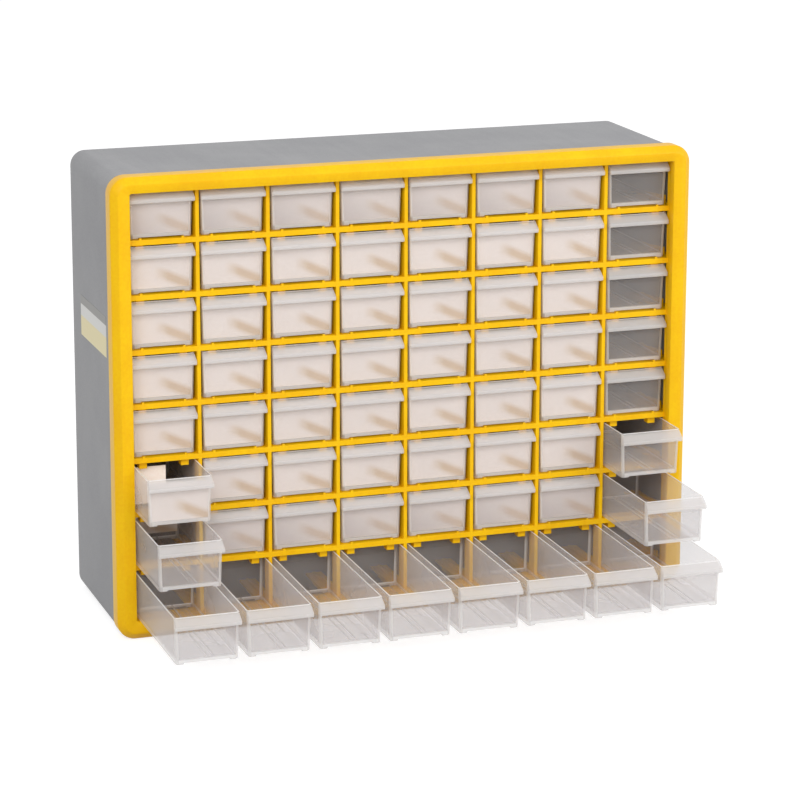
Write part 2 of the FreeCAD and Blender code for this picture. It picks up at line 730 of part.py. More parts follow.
def write_out(pieces):
    """Checks every object and piece, then writes one file for each piece."""
    doc.recompute()
    failed = [item.Name for item in doc.Objects if {"Invalid", "Error"} & set(item.State)]
    if failed:
        raise RuntimeError("failed objects: " + ", ".join(failed))
    for piece in pieces:
        shape = piece.Shape
        if shape.isNull() or not shape.isValid() or not shape.Solids:
            raise RuntimeError("bad shape: " + piece.Label)
    os.makedirs("parts", exist_ok=True)
    for piece in pieces:
        piece.Shape.exportStep(f"parts/{piece.Label}.step")
        print(piece.Label, len(piece.Shape.Solids), "solids", round(piece.Shape.Volume), "cubic mm")


write_out([make_housing(), make_bezel(), make_rack(), make_sticker(), *make_drawers()])
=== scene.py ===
"""Looks of a small-parts bin cabinet: a grey tub, a yellow front frame and rack, and milky drawers."""

import logging
import math
from dataclasses import dataclass, field
from enum import Enum
from itertools import product

import bmesh
import bpy
from mathutils import Matrix, Vector


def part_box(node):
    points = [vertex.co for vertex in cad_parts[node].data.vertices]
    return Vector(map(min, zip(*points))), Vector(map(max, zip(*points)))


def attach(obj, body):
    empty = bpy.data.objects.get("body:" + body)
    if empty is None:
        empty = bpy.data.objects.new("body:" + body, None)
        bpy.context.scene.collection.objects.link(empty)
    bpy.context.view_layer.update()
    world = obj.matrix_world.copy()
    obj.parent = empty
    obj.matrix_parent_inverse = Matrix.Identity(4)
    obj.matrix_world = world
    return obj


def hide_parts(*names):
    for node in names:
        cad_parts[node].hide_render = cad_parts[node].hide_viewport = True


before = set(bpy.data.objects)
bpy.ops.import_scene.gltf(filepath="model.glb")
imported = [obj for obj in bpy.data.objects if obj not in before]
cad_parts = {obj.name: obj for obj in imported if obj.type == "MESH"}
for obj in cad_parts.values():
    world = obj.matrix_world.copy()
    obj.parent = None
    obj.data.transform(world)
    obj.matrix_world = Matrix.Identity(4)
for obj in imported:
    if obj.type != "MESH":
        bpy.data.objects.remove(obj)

MM = 0.001
# The pitch of the cells across and up, in mm.
CELL_PITCH = (59.0, 45.0)
# The face attribute that says how thick the plastic looks and how much painted white glow it gets.
THICK_AND_GLOWING_PLACES = "thick_places"
# The faces of a box by its corners, in the order of add_box.
BOX_FACES = ((3, 2, 1, 0), (4, 5, 6, 7), (0, 1, 5, 4), (1, 2, 6, 5), (2, 3, 7, 6), (3, 0, 4, 7))
# Points closer than this are one.
SAME_PLACE = 0.001 * MM
# A face is level or upright when the rise of its normal is above the one or below the other.
LEVEL_FROM, UPRIGHT_TO = 0.7, 0.3
log = logging.getLogger("parts_cabinet")

Tree = bpy.types.NodeTree
Socket = bpy.types.NodeSocket
Outline = list[tuple[float, float]]
Point = tuple[float, float, float]


def linear(code: str) -> tuple[float, float, float, float]:
    """Turns an sRGB hex colour to linear light.

    Args:
        code: the colour as #rrggbb.

    Returns:
        Red, green, blue and an alpha of one.
    """
    shares = [int(code[start:start + 2], 16) / 255 for start in (1, 3, 5)]
    light = [share / 12.92 if share <= 0.04045 else ((share + 0.055) / 1.055) ** 2.4 for share in shares]
    return light[0], light[1], light[2], 1.0


def add(tree: Tree, kind: str, inputs: dict | None = None, **settings: object) -> bpy.types.Node:
    """Adds a node with its settings and links.

    Args:
        tree: the node tree.
        kind: the node's type.
        inputs: by socket name or number, a value or the socket that feeds it.
        settings: the node's own properties.

    Returns:
        The new node.
    """
    node = tree.nodes.new(kind)
    for name, setting in settings.items():
        setattr(node, name, setting)
    for key, source in (inputs or {}).items():
        if isinstance(source, Socket):
            tree.links.new(source, node.inputs[key])
        else:
            node.inputs[key].default_value = source
    return node


def new_material(name: str) -> tuple[bpy.types.Material, Tree]:
    """Makes an empty node material.

    Args:
        name: the material's name.

    Returns:
        The material and its tree.
    """
    material = bpy.data.materials.new(name)
    material.use_nodes = True
    material.node_tree.nodes.clear()
    return material, material.node_tree


def noise(tree: Tree, place: Socket, size: float, detail: float = 2.0) -> Socket:
    """Gives a cloud pattern whose lumps have a real size.

    Args:
        tree: the node tree.
        place: the coordinates that it reads, in metres.
        size: the size of a lump, in metres.
        detail: how many finer octaves it has.

    Returns:
        The pattern's value, about one half on the mean.
    """
    node = add(tree, "ShaderNodeTexNoise", {"Vector": place, "Scale": 1 / size, "Detail": detail})
    return node.outputs["Fac"]


def graded(tree: Tree, value: Socket, low: float, high: float, start: float = 0.3,
           end: float = 0.7) -> Socket:
    """Maps a pattern onto a range of values.

    Args:
        tree: the node tree.
        value: the pattern.
        low: what start becomes.
        high: what end becomes.
        start: the pattern's low end.
        end: the pattern's high end.

    Returns:
        The mapped value.
    """
    node = add(tree, "ShaderNodeMapRange", {"Value": value, "From Min": start, "From Max": end,
                                            "To Min": low, "To Max": high})
    return node.outputs["Result"]


def varied(tree: Tree, value: Socket, mean: float, spread: float) -> Socket:
    """Maps a pattern onto a range about a mean.

    Args:
        tree: the node tree.
        value: the pattern.
        mean: the middle of the range.
        spread: how far the range reaches to either side.

    Returns:
        The mapped value.
    """
    return graded(tree, value, mean - spread, mean + spread)


def blended(tree: Tree, share: Socket, first: object, second: object) -> Socket:
    """Mixes two colours by a share.

    Args:
        tree: the node tree.
        share: how much of the second colour shows.
        first: a colour or a socket.
        second: a colour or a socket.

    Returns:
        The mixed colour.
    """
    node = add(tree, "ShaderNodeMix", {"Factor": share}, data_type="RGBA")
    for name, source in (("A", first), ("B", second)):
        socket = next(item for item in node.inputs if item.name == name and item.type == "RGBA")
        if isinstance(source, Socket):
            tree.links.new(source, socket)
        else:
            socket.default_value = source
    return next(item for item in node.outputs if item.type == "RGBA")


def worked_out(tree: Tree, operation: str, first: object, second: object = 0.0,
               clamped: bool = False) -> Socket:
    """Adds a sum with one or two numbers.

    Args:
        tree: the node tree.
        operation: what is done with the numbers, by the node's own word.
        first: a number or a socket.
        second: a number or a socket.
        clamped: whether the result is kept from zero to one.

    Returns:
        The result.
    """
    node = add(tree, "ShaderNodeMath", {0: first, 1: second}, operation=operation, use_clamp=clamped)
    return node.outputs[0]


@dataclass(frozen=True)
class MouldedPlastic:
    """An opaque moulded plastic with a fine skin, slow drifts of tone and softened edges.

    The skin is the texture that the mould leaves. Real spark-eroded texture has grains of about 0.3 mm,
    too fine to show from a step away, so it is drawn as coarse as skin_size. Its speckle is how far a grain
    lies from the mean tone, as streak_strength is for a flow line.
    """

    name: str
    pale: str
    deep: str
    roughness: float
    roughness_drift: float
    skin_size: float
    skin_height: float
    drift_size: float
    streak_width: float
    streak_length: float
    streak_strength: float
    edge_round: float
    ior: float
    speckle: float = 0.25
    relief: float = 0.6

    def build(self) -> bpy.types.Material:
        """Makes the material.

        Returns:
            The material.
        """
        material, tree = new_material(self.name)
        place = add(tree, "ShaderNodeTexCoord").outputs["Object"]
        along = add(tree, "ShaderNodeMapping", {"Vector": place, "Scale": (
            1 / self.streak_width, 1 / self.streak_length, 1 / self.streak_length)}).outputs["Vector"]
        streaks = noise(tree, along, 1.0, detail=3.0)
        drift = noise(tree, place, self.drift_size, detail=4.0)
        skin = noise(tree, place, self.skin_size, detail=1.0)
        flow = varied(tree, streaks, 0.0, self.streak_strength)
        tone = worked_out(tree, "ADD", flow, graded(tree, drift, 0.0, 1.0))
        grains = varied(tree, skin, 0.0, self.speckle)
        speckled = worked_out(tree, "ADD", tone, grains, clamped=True)
        colour = blended(tree, speckled, linear(self.deep), linear(self.pale))
        rough = varied(tree, drift, self.roughness, self.roughness_drift)
        edges = add(tree, "ShaderNodeBevel", {"Radius": self.edge_round}, samples=4)
        bump = add(tree, "ShaderNodeBump", {"Height": skin, "Distance": self.skin_height,
                                            "Strength": self.relief, "Normal": edges.outputs["Normal"]})
        shader = add(tree, "ShaderNodeBsdfPrincipled", {"Base Color": colour, "Roughness": rough,
                                                        "IOR": self.ior, "Normal": bump.outputs["Normal"]})
        add(tree, "ShaderNodeOutputMaterial", {"Surface": shader.outputs["BSDF"]})
        return material


# Impact polystyrene, injection moulded in a spark-eroded mould: a matt grey with a grainy skin, faint flow
# lines from the front to the back and slow drifts of tone.
GREY_HIPS = MouldedPlastic(
    name="grey_impact_polystyrene", pale="#9e9ea0", deep="#909093", roughness=0.62, roughness_drift=0.05,
    skin_size=1.3 * MM, skin_height=0.08 * MM, drift_size=60 * MM, streak_width=7.0 * MM,
    streak_length=120 * MM, streak_strength=0.14, edge_round=0.5 * MM, ior=1.59)

# Impact polystyrene again, in a polished mould: a strong warm yellow with a smooth semi-gloss and a faint
# orange-peel.
YELLOW_HIPS = MouldedPlastic(
    name="yellow_impact_polystyrene", pale="#fbc802", deep="#f6bb00", roughness=0.42, roughness_drift=0.05,
    skin_size=2.6 * MM, skin_height=0.02 * MM, drift_size=40 * MM, streak_width=8 * MM,
    streak_length=60 * MM, streak_strength=0.15, edge_round=0.4 * MM, ior=1.33)


@dataclass(frozen=True)
class MilkyPlastic:
    """A thin translucent plastic that scatters part of the light and lets part of it through.

    Each wall has two surfaces, so what passes a wall is about the square of clear_share, and less where the
    wall is seen side on. Cut edges and thick places, which a mesh marks in its attribute, hold more of the
    light and are painted white with the edge colour, partly for their thickness and partly as a painted glow
    of light that runs along the walls.
    """

    name: str
    body: str
    glow: str
    # The edge colour is a painted white glow at thick places.
    edge: str
    passing: str
    clear_share: float
    side_on_share: float
    edge_hold: float
    glow_share: float
    roughness: float
    ripple_size: float
    ripple_height: float
    haze_size: float
    ior: float
    roughness_drift: float = 0.05
    relief: float = 0.5
    side_on_blend: float = 0.35
    side_on_start: float = 0.35

    def build(self) -> bpy.types.Material:
        """Makes the material.

        Returns:
            The material.
        """
        material, tree = new_material(self.name)
        place = add(tree, "ShaderNodeTexCoord").outputs["Object"]
        ripple = noise(tree, place, self.ripple_size)
        haze = noise(tree, place, self.haze_size, detail=3.0)
        thick = add(tree, "ShaderNodeAttribute", attribute_name=THICK_AND_GLOWING_PLACES).outputs["Fac"]
        wall = blended(tree, graded(tree, haze, 0.0, 1.0), linear(self.body), linear(self.glow))
        # Thick places take the edge colour, a painted white glow besides the thickness they stand for.
        colour = blended(tree, thick, wall, linear(self.edge))
        bump = add(tree, "ShaderNodeBump", {"Height": ripple, "Distance": self.ripple_height,
                                            "Strength": self.relief})
        rough = varied(tree, haze, self.roughness, self.roughness_drift)
        skin = add(tree, "ShaderNodeBsdfPrincipled", {"Base Color": colour, "Roughness": rough,
                                                      "IOR": self.ior, "Normal": bump.outputs["Normal"]})
        glow = add(tree, "ShaderNodeBsdfTranslucent", {"Color": colour, "Normal": bump.outputs["Normal"]})
        clear = add(tree, "ShaderNodeBsdfTransparent", {"Color": linear(self.passing)})
        milky = add(tree, "ShaderNodeMixShader", {0: self.glow_share, 1: skin.outputs[0], 2: glow.outputs[0]})
        side_on = add(tree, "ShaderNodeLayerWeight", {"Blend": self.side_on_blend}).outputs["Facing"]
        share = graded(tree, side_on, self.clear_share, self.side_on_share, self.side_on_start, 1.0)
        left_over = graded(tree, thick, 1.0, 1.0 - self.edge_hold, 0.0, 1.0)
        passed = worked_out(tree, "MULTIPLY", share, left_over)
        both = add(tree, "ShaderNodeMixShader", {0: passed, 1: milky.outputs[0], 2: clear.outputs[0]})
        add(tree, "ShaderNodeOutputMaterial", {"Surface": both.outputs[0]})
        return material


# Natural polypropylene, injection moulded with thin walls: nearly clear and a little milky, with a soft
# sheen. Its rims, corners and feet are painted white: partly the thick plastic there, partly a painted glow
# of light that runs along the walls, and at the hood's lip a painted highlight.
NATURAL_PP = MilkyPlastic(
    name="natural_polypropylene", body="#ebe6e3", glow="#f2edea", edge="#ffffff", passing="#fafafb",
    clear_share=0.83, side_on_share=0.54, edge_hold=0.75, glow_share=0.25, roughness=0.3, ripple_size=9 * MM,
    ripple_height=0.05 * MM, haze_size=36 * MM, ior=1.49)


@dataclass(frozen=True)
class Card:
    """Uncoated card with fine fibres and a painted tan shade of the rack's fin low on the right of each cell.

    Real fibres are about 0.03 mm wide, so they are drawn coarser. The painted fin shade repeats with the
    cells, whose share across and share up run from zero to one between the posts and between the rails.
    Cards above top_row and below low_row are painted darker, as painted shade of the frame, most of all low
    on their left.
    """

    name: str
    pale: str
    deep: str
    # The colours of the fin's painted warm shade and of the frame's painted shade.
    fin_shade: str
    shaded: str
    fibre_size: float
    fibre_height: float
    roughness: float
    first_cell: tuple[float, float]
    pitch: tuple[float, float]
    fin_shade_ends: tuple[float, float]
    fin_shade_heights: tuple[float, float]
    fin_shade_half: float
    fin_shade_blur: float
    top_row: float
    low_row: float
    shade_range: tuple[float, float] = (0.75, 0.3)
    shade_ends: tuple[float, float] = (0.35, 1.0)
    roughness_drift: float = 0.05
    relief: float = 0.5

    def cell_share(self, tree: Tree, place: Socket, first: float, pitch: float) -> Socket:
        """Gives how far across or up its cell a point lies.

        Args:
            tree: the node tree.
            place: the point's coordinate.
            first: where the first cell starts.
            pitch: the cells' pitch.

        Returns:
            A share from zero to one.
        """
        start = worked_out(tree, "SUBTRACT", place, first)
        return worked_out(tree, "FRACT", worked_out(tree, "DIVIDE", start, pitch))

    def fin_shade_share(self, tree: Tree, across: Socket, up: Socket) -> Socket:
        """Gives one inside the painted fin shade and zero outside, with soft edges.

        Args:
            tree: the node tree.
            across: the share across the cell.
            up: the share up the cell.

        Returns:
            The painted fin shade's share.
        """
        start, end = self.fin_shade_ends
        middle = graded(tree, across, *self.fin_shade_heights, start, end)
        far = worked_out(tree, "ABSOLUTE", worked_out(tree, "SUBTRACT", up, middle))
        band = graded(tree, far, 1.0, 0.0, self.fin_shade_half, self.fin_shade_half + self.fin_shade_blur)
        begun = graded(tree, across, 0.0, 1.0, start - self.fin_shade_blur, start + self.fin_shade_blur)
        return worked_out(tree, "MULTIPLY", band, begun)

    def shade_share(self, tree: Tree, height: Socket, across: Socket, up: Socket) -> Socket:
        """Gives how much painted shade of the frame a point of the cards gets.

        Args:
            tree: the node tree.
            height: the point's height above the floor.
            across: the share across the cell.
            up: the share up the cell.

        Returns:
            The shade's share.
        """
        top = graded(tree, height, 0.0, 1.0, self.top_row, self.top_row + MM)
        low = graded(tree, height, 1.0, 0.0, self.low_row, self.low_row + MM)
        from_corner = graded(tree, worked_out(tree, "ADD", across, up), *self.shade_range, *self.shade_ends)
        return worked_out(tree, "MULTIPLY", worked_out(tree, "ADD", top, low), from_corner)

    def build(self) -> bpy.types.Material:
        """Makes the material.

        Returns:
            The material.
        """
        material, tree = new_material(self.name)
        place = add(tree, "ShaderNodeTexCoord").outputs["Object"]
        spots = add(tree, "ShaderNodeSeparateXYZ", {0: place}).outputs
        across = self.cell_share(tree, spots["X"], self.first_cell[0], self.pitch[0])
        up = self.cell_share(tree, spots["Z"], self.first_cell[1], self.pitch[1])
        fibres = noise(tree, place, self.fibre_size, detail=3.0)
        plain = blended(tree, graded(tree, fibres, 0.0, 1.0), linear(self.deep), linear(self.pale))
        # Paints a warm shade where the rack's fin stands beyond the card, low on the right of each cell.
        fin_shaded = blended(tree, self.fin_shade_share(tree, across, up), plain, linear(self.fin_shade))
        # Paints the frame's shade on the cards of the top and low rows, most of all low on their left.
        colour = blended(tree, self.shade_share(tree, spots["Z"], across, up), fin_shaded, linear(self.shaded))
        bump = add(tree, "ShaderNodeBump", {"Height": fibres, "Distance": self.fibre_height,
                                            "Strength": self.relief})
        rough = varied(tree, fibres, self.roughness, self.roughness_drift)
        shader = add(tree, "ShaderNodeBsdfPrincipled", {"Base Color": colour, "Roughness": rough,
                                                        "Normal": bump.outputs["Normal"]})
        add(tree, "ShaderNodeOutputMaterial", {"Surface": shader.outputs[0]})
        return material


# White card, rolled and uncoated: a flat warm white with hardly any sheen, with a painted warm shade where
# the yellow rack's guide fin stands near it, and painted shade of the frame in the top and low rows.
WHITE_CARD = Card(
    name="white_uncoated_card", pale="#fff6ee", deep="#fbefe5", fin_shade="#e4c9a8", shaded="#c3b9b6",
    fibre_size=1.5 * MM, fibre_height=0.02 * MM, roughness=0.85, first_cell=(-236 * MM, 15.3 * MM),
    pitch=(CELL_PITCH[0] * MM, CELL_PITCH[1] * MM), fin_shade_ends=(0.5, 0.93), fin_shade_heights=(0.36, 0.10),
    fin_shade_half=0.04, fin_shade_blur=0.10, top_row=330 * MM, low_row=104 * MM)


@dataclass(frozen=True)
class PrintedFilm:
    """A blank sticker film in two tones, with a darker strip along its top and faint paler fibres."""

    name: str
    paper: str
    strip: str
    lower: str
    split_height: float
    strip_height: float
    edge_blur: float
    fibre_size: float
    fibre_height: float
    fibre_share: float
    gloss_range: tuple[float, float]
    relief: float = 0.4

    def build(self) -> bpy.types.Material:
        """Makes the material.

        Returns:
            The material.
        """
        material, tree = new_material(self.name)
        place = add(tree, "ShaderNodeTexCoord").outputs["Object"]
        height = add(tree, "ShaderNodeSeparateXYZ", {0: place}).outputs["Z"]
        fibres = noise(tree, place, self.fibre_size, detail=3.0)
        above = graded(tree, height, 0.0, 1.0, self.split_height - self.edge_blur, self.split_height)
        on_strip = graded(tree, height, 0.0, 1.0, self.strip_height - self.edge_blur, self.strip_height)
        ground = blended(tree, above, linear(self.lower), linear(self.paper))
        printed = blended(tree, on_strip, ground, linear(self.strip))
        worn = blended(tree, graded(tree, fibres, 0.0, self.fibre_share), printed, linear("#ffffff"))
        bump = add(tree, "ShaderNodeBump", {"Height": fibres, "Distance": self.fibre_height,
                                            "Strength": self.relief})
        shader = add(tree, "ShaderNodeBsdfPrincipled", {
            "Base Color": worn, "Roughness": graded(tree, fibres, *self.gloss_range),
            "Normal": bump.outputs["Normal"]})
        add(tree, "ShaderNodeOutputMaterial", {"Surface": shader.outputs[0]})
        return material


# Printed paper under a clear film, laid flat: half gloss, in pale grey over pale yellow.
BLANK_STICKER = PrintedFilm(
    name="blank_sticker_film", paper="#d9d8d4", strip="#7f7d79", lower="#e7d9a3", split_height=247 * MM,
    strip_height=257 * MM, edge_blur=0.4 * MM, fibre_size=2.0 * MM, fibre_height=0.02 * MM, fibre_share=0.08,
    gloss_range=(0.38, 0.48))


def dress(thing: bpy.types.Object, material: bpy.types.Material) -> None:
    """Gives every slot of an object one material.

    Args:
        thing: the object.
        material: its material.
    """
    thing.data.materials.clear()
    thing.data.materials.append(material)


def to_plain_mesh(thing: bpy.types.Object) -> bpy.types.Object:
    """Applies an object's modifiers to its mesh.

    Args:
        thing: the object, whose modifiers are then removed.

    Returns:
        The same object.
    """
    bpy.context.view_layer.update()
    graph = bpy.context.evaluated_depsgraph_get()
    made = bpy.data.meshes.new_from_object(thing.evaluated_get(graph))
    thing.modifiers.clear()
    thing.data = made
    return thing


def smooth(mesh: bpy.types.Mesh, angle: float) -> None:
    """Shades a mesh smooth, apart from edges sharper than an angle.

    Args:
        mesh: the mesh.
        angle: the sharpest angle that is smoothed, in radians.
    """
    shape = bmesh.new()
    shape.from_mesh(mesh)
    for face in shape.faces:
        face.smooth = True
    for edge in shape.edges:
        edge.smooth = len(edge.link_faces) == 2 and edge.calc_face_angle(math.pi) < angle
    shape.to_mesh(mesh)
    shape.free()


def rounded_outline(half_width: float, front: float, back: float, radius: float, steps: int) -> Outline:
    """Gives the points of a rectangle with round corners, seen from above.

    Args:
        half_width: half of its width.
        front: where it starts.
        back: where it ends.
        radius: the corners' radius.
        steps: how many edges each corner has.

    Returns:
        The points, anticlockwise.
    """
    centres = [(half_width - radius, front + radius), (half_width - radius, back - radius),
               (radius - half_width, back - radius), (radius - half_width, front + radius)]
    points = []
    for corner, (across, along) in enumerate(centres):
        for step in range(steps + 1):
            turn = math.radians(90 * (corner - 1 + step / steps))
            points.append((across + radius * math.cos(turn), along + radius * math.sin(turn)))
    return points


def loft(name: str, levels: list[tuple[float, Outline]]) -> bpy.types.Object:
    """Skins a closed solid over outlines that have as many points each.

    Args:
        name: the object's name.
        levels: height and outline of each level, in order round the solid's section.

    Returns:
        The object.
    """
    shape = bmesh.new()
    rings = [[shape.verts.new((x * MM, y * MM, height * MM)) for x, y in outline]
             for height, outline in levels]
    count = len(rings[0])
    for lower, upper in zip(rings, rings[1:]):
        for index in range(count):
            following = (index + 1) % count
            shape.faces.new((lower[index], lower[following], upper[following], upper[index]))
    shape.faces.new(list(reversed(rings[0])))
    shape.faces.new(rings[-1])
    bmesh.ops.recalc_face_normals(shape, faces=shape.faces)
    return as_object(name, shape)


def as_object(name: str, shape: bmesh.types.BMesh) -> bpy.types.Object:
    """Turns a bmesh to an object of the scene.

    Args:
        name: the object's name.
        shape: the bmesh, which is freed.

    Returns:
        The object.
    """
    mesh = bpy.data.meshes.new(name)
    shape.to_mesh(mesh)
    shape.free()
    thing = bpy.data.objects.new(name, mesh)
    bpy.context.scene.collection.objects.link(thing)
    return thing


def add_box(shape: bmesh.types.BMesh, corners: list[Vector]) -> None:
    """Adds a box to a bmesh.

    Args:
        shape: the bmesh.
        corners: four corners of its foot, then four of its top, anticlockwise from above, in metres.
    """
    points = [shape.verts.new(corner) for corner in corners]
    for face in BOX_FACES:
        shape.faces.new([points[index] for index in face])


def bar(name: str, low: Point, high: Point, soften: float) -> bpy.types.Object:
    """Makes a bar between two corners with softened edges.

    Args:
        name: the object's name.
        low: its lowest corner, in mm.
        high: its highest corner, in mm.
        soften: how wide its edges are bevelled, in mm.

    Returns:
        The object.
    """
    shape = bmesh.new()
    around = ((low[0], low[1]), (high[0], low[1]), (high[0], high[1]), (low[0], high[1]))
    add_box(shape, [Vector((x * MM, y * MM, z * MM)) for z in (low[2], high[2]) for x, y in around])
    bmesh.ops.bevel(shape, geom=list(shape.edges), offset=soften * MM, segments=2, affect="EDGES",
                    profile=0.5)
    return as_object(name, shape)


class Joining(Enum):
    """How one solid is worked into another."""

    CUT = "DIFFERENCE"
    JOIN = "UNION"


def work_in(body: bpy.types.Object, tool: bpy.types.Object, how: Joining) -> None:
    """Cuts one solid out of another, or joins it on, and removes it.

    Args:
        body: the solid that stays.
        tool: the solid that is worked in.
        how: cut or join.
    """
    step = body.modifiers.new("work", "BOOLEAN")
    step.object = tool
    step.operation = how.value
    step.solver = "EXACT"
    to_plain_mesh(body)
    bpy.data.objects.remove(tool)


class ThicknessAndGlow(Enum):
    """How far the plastic at a place of a drawer holds the light and gets a painted white glow, from a clear
    wall's zero to one.
    """

    # Shares of thickness and of painted white glow; at the lip the glow is also a painted highlight line.
    CUT_EDGE = 1.0
    END_FOOT = 0.75
    LIP = 0.6
    CORNER = 0.5
    HOOD = 0.4
    SIDE_FOOT = 0.35
    WALL = 0.0


@dataclass
class Drawer:
    """One drawer: a tapered tray on two runners, with a finger hood in front.

    Lengths are in mm. X runs across, Y from the front wall's face to the back, and Z up from the runners.
    """

    length: float = 136.0
    width: float = 53.4
    height: float = 39.0
    draft: float = 1.2
    end_draft: float = 0.8
    wall: float = 1.2
    corner: float = 2.5
    base_round: float = 1.0
    foot_band: float = 3.9
    floor_round: float = 1.6
    rim_round: float = 0.35
    runner_width: float = 6.5
    runner_height: float = 1.4
    rib_width: float = 1.0
    rib_height: float = 1.2
    rib_spacing: float = 5.0
    rib_shift: float = 4.2
    nib_depth: float = 1.5
    nib_height: float = 5.0
    hood_width: float = 54.4
    hood_root_width: float = 52.6
    hood_reach: float = 5.5
    hood_slope: float = 5.8
    hood_lip: float = 3.5
    hood_wall: float = 1.2
    hood_round: float = 0.9
    hood_inner_share: float = 0.4
    rib_soften: float = 0.2
    recess_soften: float = 0.3
    rib_sink: float = 0.5
    sharp_angle: float = math.radians(32)
    least_corner: float = 0.4
    corner_steps: int = 6
    foot_turns: tuple[float, ...] = (0.0, 0.33, 0.66, 1.0)

    def spots(self, node: str) -> list[Vector]:
        """Gives where the drawers of a CAD node stand, from the left.

        Args:
            node: the node's name.

        Returns:
            Each drawer's place in metres, in the middle of its front wall's face and level with its runners.
        """
        low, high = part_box(node)
        pitch = CELL_PITCH[0] * MM
        count = math.ceil((high.x - low.x) / pitch)
        first = (low.x + high.x - (count - 1) * pitch) / 2
        front = low.y + self.hood_reach * MM
        return [Vector((first + place * pitch, front, low.z)) for place in range(count)]

    def outline(self, height: float, inset: float, radius: float) -> Outline:
        """Gives the tray's outline at a height, drawn in by an inset.

        Args:
            height: how high the outline lies.
            inset: how far it is drawn in from the outside.
            radius: its corners' radius.

        Returns:
            The outline's points.
        """
        fall = 1 - height / self.height
        ends = inset + self.end_draft * fall
        return rounded_outline(self.width / 2 - inset - self.draft * fall, ends, self.length - ends, radius,
                               self.corner_steps)

    def section(self, low: float, low_round: float, top_inset: float, inset: float, corner: float,
                band: float | None = None) -> list[tuple[float, Outline]]:
        """Gives the levels of a block with a rounded foot, up to the tray's rim.

        Args:
            low: the height of its foot.
            low_round: the radius round its foot.
            top_inset: how far its last level is drawn out, negative, or in.
            inset: how far it is drawn in from the tray's outside.
            corner: its corners' radius.
            band: the height of one more level, which bounds the band round its foot.

        Returns:
            Height and outline of each level.
        """
        levels, least = [], self.least_corner
        for share in self.foot_turns:
            turn = math.radians(90 * share)
            height = low + low_round * (1 - math.cos(turn))
            drawn_in = inset + low_round * (1 - math.sin(turn))
            levels.append((height, self.outline(height, drawn_in, max(corner - drawn_in + inset, least))))
        if band:
            levels.append((band, self.outline(band, inset, corner)))
        rim = self.height - self.rim_round
        levels.append((rim, self.outline(rim, inset, corner)))
        levels.append((self.height, self.outline(self.height, inset + top_inset, corner - top_inset)))
        return levels

    def tray(self) -> bpy.types.Object:
        """Makes the tray with its floor ribs.

        Returns:
            The tray, as one solid.
        """
        outside = self.section(0.0, self.base_round, self.rim_round, 0.0, self.corner, self.foot_band)
        body = loft("tray", outside)
        floor = self.runner_height + self.wall
        hollow = self.section(floor, self.floor_round, -self.rim_round, self.wall, self.corner - self.wall)
        beyond = self.height + self.wall
        hollow.append((beyond, self.outline(self.height, self.wall - self.rim_round,
                                            self.corner - self.wall + self.rim_round)))
        work_in(body, loft("hollow", hollow), Joining.CUT)
        inner = self.width / 2 - self.draft - self.runner_width
        far_corner = (inner, self.length + self.wall, self.runner_height)
        recess = bar("recess", (-inner, -self.wall, -self.wall), far_corner, self.recess_soften)
        work_in(body, recess, Joining.CUT)
        foot, back = floor - self.rib_sink, self.length - self.wall
        nib_front = back - self.nib_depth - self.end_draft
        for side in (-1, 1):
            middle = self.rib_shift + side * self.rib_spacing / 2
            left, right = middle - self.rib_width / 2, middle + self.rib_width / 2
            rib = bar("rib", (left, self.wall, foot), (right, back, floor + self.rib_height), self.rib_soften)
            work_in(body, rib, Joining.JOIN)
            nib = bar("nib", (left, nib_front, foot), (right, back, floor + self.nib_height), self.rib_soften)
            work_in(body, nib, Joining.JOIN)
        return body

    def hood(self) -> bpy.types.Object:
        """Makes the finger hood, rounded where its slope turns down to the lip.

        Returns:
            The hood, as one solid.
        """
        root, front = self.wall / 2, -self.hood_reach
        low = self.height - self.hood_slope - self.hood_lip
        flare = (self.hood_width - self.hood_root_width) / 2
        run = root - front

        def block(name: str, wall: float, start: float, end: float, foot: float) -> bpy.types.Object:
            """Makes the hood's outside, or its hollow.

            Args:
                name: the object's name.
                wall: how far it is drawn in.
                start: where it starts at the root.
                end: where it ends in front.
                foot: the height of its underside.

            Returns:
                The block.
            """
            shape = bmesh.new()
            sides = []
            for side in (-1, 1):
                points = []
                for along, height in ((start, foot), (end, foot), (end, None), (start, None)):
                    share = (root - along) / run
                    top = self.height - self.hood_slope * share - wall if height is None else height
                    across = side * (self.hood_root_width / 2 + flare * share - wall)
                    points.append(shape.verts.new((across * MM, along * MM, top * MM)))
                sides.append(points)
            left, right = sides
            shape.faces.new(left)
            shape.faces.new(list(reversed(right)))
            for index in range(4):
                following = (index + 1) % 4
                shape.faces.new((left[index], right[index], right[following], left[following]))
            bmesh.ops.recalc_face_normals(shape, faces=shape.faces)
            shown = [edge for edge in shape.edges
                     if any(abs(vertex.co.y - end * MM) < SAME_PLACE for vertex in edge.verts)]
            rounding = self.hood_round * MM * (self.hood_inner_share if wall else 1.0)
            bmesh.ops.bevel(shape, geom=shown, offset=rounding, segments=3, affect="EDGES", profile=0.5,
                            clamp_overlap=True)
            return as_object(name, shape)

        body = block("hood", 0.0, root, front, low)
        hollow = block("hood_hollow", self.hood_wall, 0.0, front + self.hood_wall, low - self.wall)
        work_in(body, hollow, Joining.CUT)
        return body

    def build(self) -> bpy.types.Object:
        """Makes the whole drawer as one closed mesh.

        Returns:
            The drawer, with its thick places and their painted glow marked.
        """
        body = self.tray()
        work_in(body, self.hood(), Joining.JOIN)
        body.name = "drawer_pattern"
        smooth(body.data, self.sharp_angle)
        self.mark_thick_and_glowing_places(body.data)
        return body

